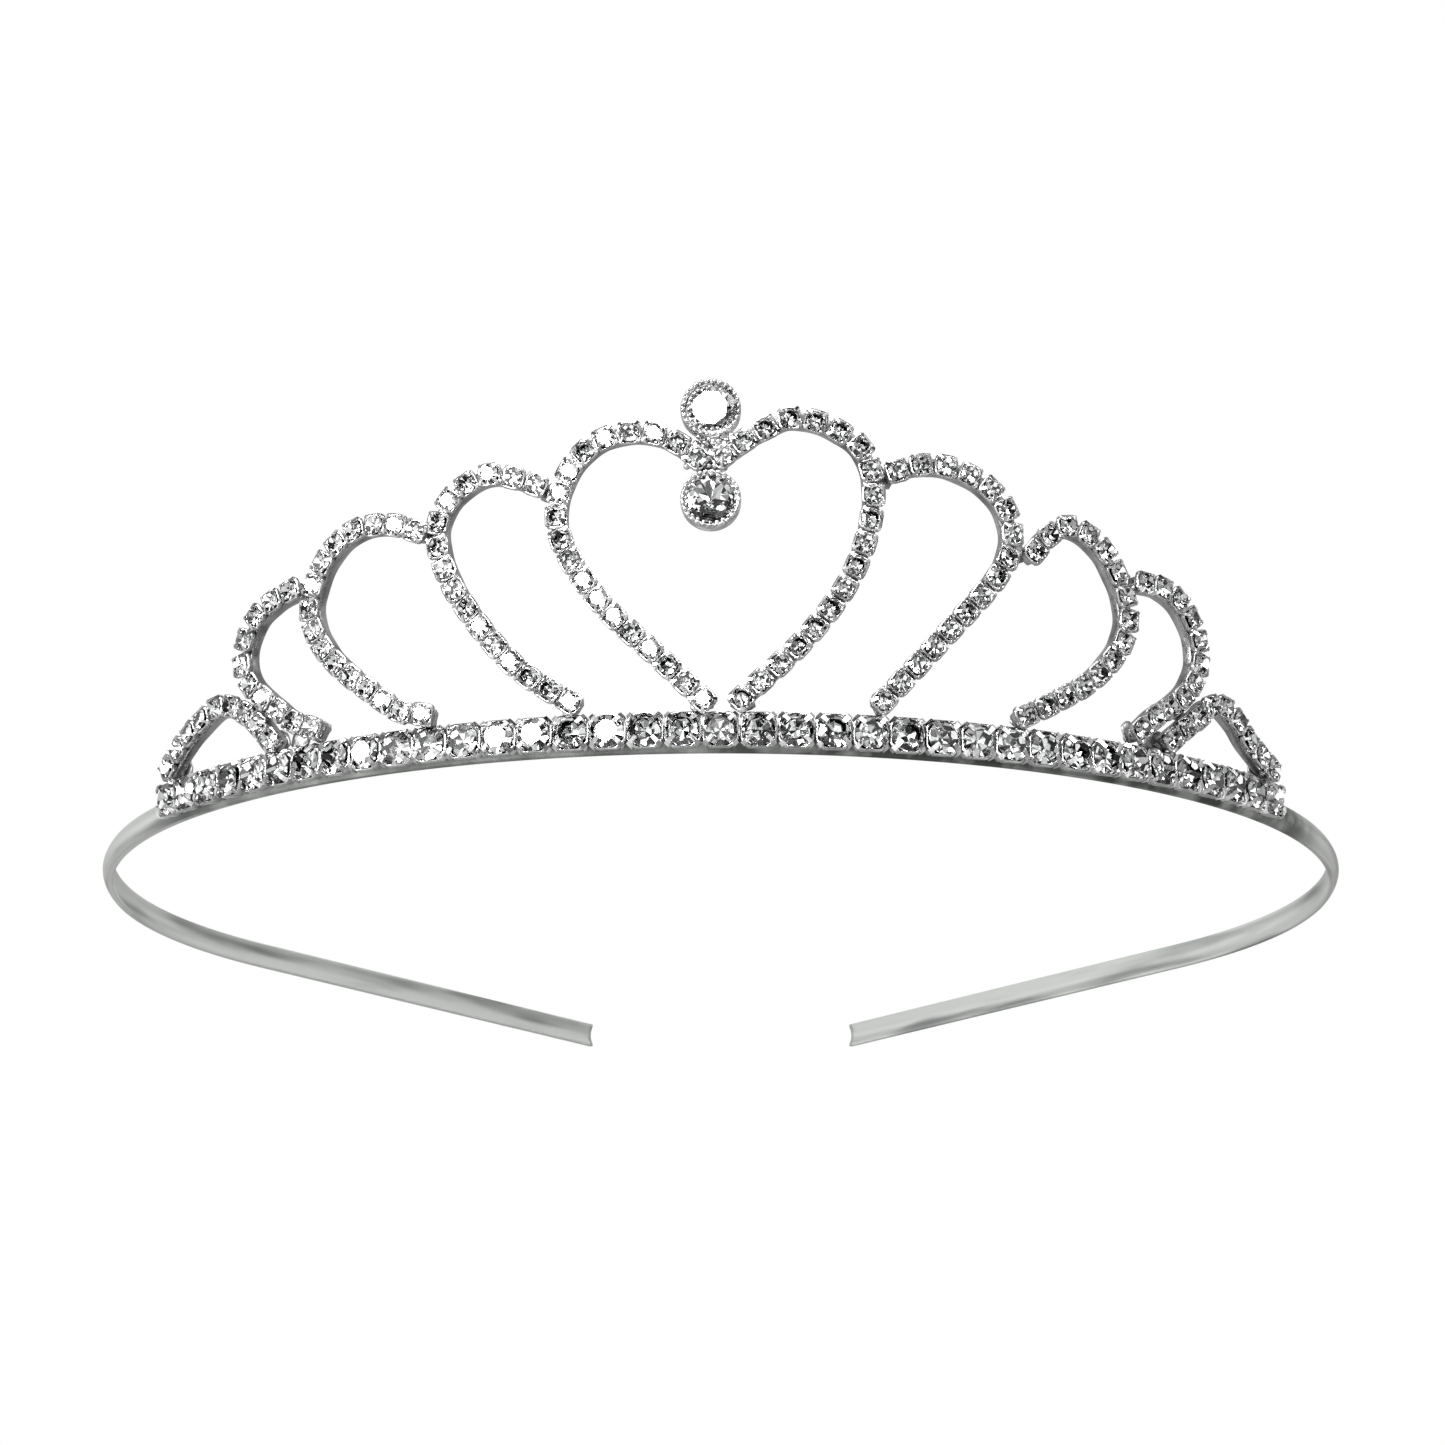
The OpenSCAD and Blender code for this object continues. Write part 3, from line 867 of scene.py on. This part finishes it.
def set_big_stone(which, lip, lean_x, lean_y, spin):
    """Bezel and stone of one of the two large settings; leans are in degrees."""
    flat = flat_places(which + "_stone")
    angle = flat[:, 0] / band_r
    base_r = loose_solids(which + "_bezel")[1].min()
    z_axis, x_axis = outward(angle), rightward(angle)
    y_axis = np.cross(z_axis, x_axis)
    origin = on_drum(angle, flat[:, 1], np.full(1, base_r))
    corners, faces = bezel_shape(lip)
    placed, all_faces = copies(corners, faces, origin, x_axis, y_axis, z_axis)
    make_piece(which + "_bezel_turned", placed, all_faces, [bezel_metal],
               [which + "_bezel"])
    corners, faces, kinds = BIG_CUT
    faces = orient_outward(corners, faces)
    z_lean = z_axis + np.radians(lean_x) * x_axis + np.radians(lean_y) * y_axis
    z_lean /= np.linalg.norm(z_lean)
    side = np.cross(y_axis, z_lean)
    side /= np.linalg.norm(side)
    other = np.cross(z_lean, side)
    turned = np.cos(spin) * side + np.sin(spin) * other
    placed, all_faces = copies(corners, faces, origin + z_axis * BIG_GIRDLE_H,
                               turned, np.cross(z_lean, turned), z_lean)
    make_piece(which + "_stone_cut", placed, all_faces, [glass, foil],
               [which + "_stone"], smooth=False, face_material=kinds)
    print(which, "stone at height %.1f mm" % (flat[0, 1] / MM))


set_big_stone("top", 0.24, -8.0, -1.0, 0.3)
set_big_stone("drop", 0.14, 1.5, 2.0, 0.15)


# %% [markdown]
# ## Solder
# Flowed solder is a low smooth mound. Each bead is a squashed ball whose radius swells and
# dips with a few waves round it, so no two look the same. The neck between the two large
# stones is crowded with small bright drops, here balls scattered in a seeded way. The last
# beads fill the corners between the feet of the two outer loops on each side.

# %% Solder beads
def solder_beads(name, places, radius, bead_r, thick, replaced, stretch=1.0):
    """Squashed balls: radius times (1 + waves of the turn), flattened towards the wall."""
    rows, columns = 9, 16
    tilt = np.linspace(0.02, np.pi - 0.02, rows)[:, None]
    a = (np.arange(columns) * TAU / columns)[None, :]
    all_corners, all_faces = [], []
    for s, z in places:
        waves = 1 + 0.12 * np.sin(3 * a + rng.uniform(0, TAU)) + 0.08 * np.sin(
            5 * a + rng.uniform(0, TAU))
        x = bead_r * np.sin(tilt) * np.cos(a) * waves
        y = stretch * bead_r * np.sin(tilt) * np.sin(a) * waves
        h = thick / 2 * np.cos(tilt) + 0 * a
        angle = np.array([s / band_r])
        start = len(all_corners) * rows * columns
        centre = on_drum(angle, z, np.full(1, radius))
        all_corners.append((centre + x[..., None] * rightward(angle)
                            + y[..., None] * np.array([0, 0, 1.0])
                            + h[..., None] * outward(angle)).reshape(-1, 3))
        shell = grid_faces(rows, columns, flip=True)
        shell.append(list(range(columns)))
        shell.append(list(range((rows - 1) * columns, rows * columns))[::-1])
        all_faces += [[v + start for v in f] for f in shell]
    return make_piece(name, np.concatenate(all_corners), all_faces, [solder_metal],
                      replaced)


solder_beads("foot_solder_beads", flat_places("foot_solder"), band_r - 0.05 * MM,
             1.1 * MM, 0.6 * MM, ["foot_solder"])
solder_beads("crossing_solder_beads", flat_places("crossing_solder"),
             band_r - 0.1 * MM, 1.2 * MM, 0.7 * MM, ["crossing_solder"])
solder_beads("centre_solder_bead", flat_places("centre_solder"), band_r - 0.15 * MM,
             1.3 * MM, 0.8 * MM, ["centre_solder"], stretch=2.8)
neck = flat_places("centre_solder")[0] + np.array([0.0, 0.2 * MM])
ball, ball_faces = ball_shape()
DROPS = 64
spots = neck + rng.uniform(-1, 1, (DROPS, 2)) * np.array([2.3, 1.7]) * MM
fat = rng.uniform(0.22, 0.42, (DROPS, 1)) * MM
angle = spots[:, 0] / band_r
depth = band_r + rng.uniform(0.8, 1.8, DROPS) * MM
corners, faces = copies(ball, ball_faces, on_drum(angle, spots[:, 1], depth),
                        fat * rightward(angle), fat * outward(angle),
                        fat * np.tile([0.0, 0.0, 1.0], (DROPS, 1)))
make_piece("centre_solder_drops", corners, faces, [bezel_metal], [])
corners_between = []
for side in ("_left", "_right"):
    inner, outer = flat_places("loop4" + side + "_stones"), flat_places("loop5" + side + "_stones")
    foot = inner[np.argmin(inner[:, 1])]
    nearest = outer[np.argmin(np.linalg.norm(outer - foot, axis=1))]
    corners_between.append((foot + nearest) / 2 - np.array([0.0, 0.25 * MM]))
solder_beads("corner_solder_beads", corners_between, band_r + 0.35 * MM, 1.15 * MM,
             0.9 * MM, [])
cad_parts["row_links"].data.materials.clear()
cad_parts["row_links"].data.materials.append(bezel_metal)
print("solder done")

# %% [markdown]
# ## Floor, room and lights
# The floor is a plain pale sheet. The camera stands below it, so the sheet is see-through
# from its back: a material that is clear where the geometry is backfacing. The stones
# would go dull over a plain floor, so it also stays out of their reflections.
# A cut stone shows the room, broken up: it sparkles only if the room has bright panels
# and dark gaps. The room here is white to the eye, but to reflections it is soft white
# panels with dark between them, worked out from the direction alone. Behind the tiara
# hangs pale paper, which the headband's legs mirror as an even grey.

# %% Floor
floor_mesh = bpy.data.meshes.new("floor")
reach = 1.5
floor_mesh.from_pydata([(-reach, -reach, 0), (reach, -reach, 0), (reach, reach, 0),
                        (-reach, reach, 0)], [], [(0, 1, 2, 3)])
floor = bpy.data.objects.new("floor", floor_mesh)
floor.location.z = -0.05 * MM
bpy.context.scene.collection.objects.link(floor)
pale, tree, shader = new_material("pale floor")
shader.inputs["Base Color"].default_value = (0.9, 0.9, 0.9, 1)
shader.inputs["Roughness"].default_value = 0.7
clear = add(tree, "ShaderNodeBsdfTransparent")
side = add(tree, "ShaderNodeNewGeometry")
pick = add(tree, "ShaderNodeMixShader")
tree.links.new(side.outputs["Backfacing"], pick.inputs["Fac"])
tree.links.new(shader.outputs["BSDF"], pick.inputs[1])
tree.links.new(clear.outputs["BSDF"], pick.inputs[2])
tree.links.new(pick.outputs["Shader"], tree.nodes["Material Output"].inputs["Surface"])
floor_mesh.materials.append(pale)
floor.visible_glossy = False
floor.visible_transmission = False

# %% Room
world = bpy.data.worlds.new("studio")
bpy.context.scene.world = world
world.use_nodes = True
tree = world.node_tree
tree.nodes.clear()
sight = add(tree, "ShaderNodeTexCoord")
panels = add(tree, "ShaderNodeTexVoronoi", feature="F1", distance="CHEBYCHEV")
panels.inputs["Scale"].default_value = 4.0
panels.inputs["Randomness"].default_value = 0.8
cell = add(tree, "ShaderNodeSeparateColor")
levels = add(tree, "ShaderNodeValToRGB")
levels.color_ramp.interpolation = "CONSTANT"
stops = levels.color_ramp.elements
stops[0].position, stops[0].color = 0.0, (0.035, 0.035, 0.035, 1)
stops[1].position, stops[1].color = 0.42, (0.72, 0.72, 0.72, 1)
for position, level in ((0.6, 1.5), (0.81, 2.8)):
    stop = stops.new(position)
    stop.color = (level, level, level, 1)
way = add(tree, "ShaderNodeSeparateXYZ")
shade = remap(tree, -1.0, 1.0, 1.25, 0.75)
low = remap(tree, -0.5, 0.1, 0.42)
both = add(tree, "ShaderNodeMath", operation="MULTIPLY")
dimmed = add(tree, "ShaderNodeMix", data_type="RGBA", blend_type="MULTIPLY")
dimmed.inputs["Factor"].default_value = 1.0
behind = remap(tree, -0.1, 0.3, 0.0, 0.85)
paper = add(tree, "ShaderNodeMix", data_type="RGBA")
paper.inputs[7].default_value = (0.46, 0.46, 0.46, 1)
seen = add(tree, "ShaderNodeLightPath")
backdrop = add(tree, "ShaderNodeMix", data_type="RGBA")
backdrop.inputs[7].default_value = (1, 1, 1, 1)
glow = add(tree, "ShaderNodeBackground")
sink = add(tree, "ShaderNodeOutputWorld")
link = tree.links.new
link(sight.outputs["Generated"], panels.inputs["Vector"])
link(panels.outputs["Color"], cell.inputs["Color"])
link(cell.outputs["Red"], levels.inputs["Fac"])
link(seen.outputs["Is Camera Ray"], backdrop.inputs["Factor"])
link(sight.outputs["Generated"], way.inputs["Vector"])
link(way.outputs["X"], shade.inputs["Value"])
link(levels.outputs["Color"], dimmed.inputs[6])
link(way.outputs["Z"], low.inputs["Value"])
link(shade.outputs["Result"], both.inputs[0])
link(low.outputs["Result"], both.inputs[1])
link(both.outputs["Value"], dimmed.inputs[7])
link(way.outputs["Y"], behind.inputs["Value"])
link(behind.outputs["Result"], paper.inputs["Factor"])
link(dimmed.outputs[2], paper.inputs[6])
link(paper.outputs[2], backdrop.inputs[6])
link(backdrop.outputs[2], glow.inputs["Color"])
link(glow.outputs["Background"], sink.inputs["Surface"])


# %% Lights
def soft_box(name, azimuth, elevation, distance, width, height, radiance):
    """A flat lamp that faces the tiara from an azimuth and elevation in degrees.

    Its power is pi times its area times its radiance."""
    lamp = bpy.data.lights.new(name, "AREA")
    lamp.shape = "RECTANGLE"
    lamp.size, lamp.size_y = width, height
    lamp.energy = np.pi * width * height * radiance
    holder = bpy.data.objects.new(name, lamp)
    bpy.context.scene.collection.objects.link(holder)
    a, e = np.radians(azimuth), np.radians(elevation)
    away = Vector((np.sin(a) * np.cos(e), -np.cos(a) * np.cos(e), np.sin(e)))
    holder.location = aim + away * distance
    holder.rotation_euler = away.to_track_quat("Z", "Y").to_euler()
    holder.visible_camera = False
    return holder


for number, azimuth in enumerate((-18, -40, -64)):
    soft_box("left window %d" % number, azimuth, 17, 1.2, 0.3, 0.26, 30.0)
soft_box("right window", 50, 40, 1.2, 0.3, 0.3, 8.0)
soft_box("top", 0, 75, 1.2, 0.6, 0.6, 4.0)
bpy.context.scene.view_settings.view_transform = "Standard"
print("lights ready")
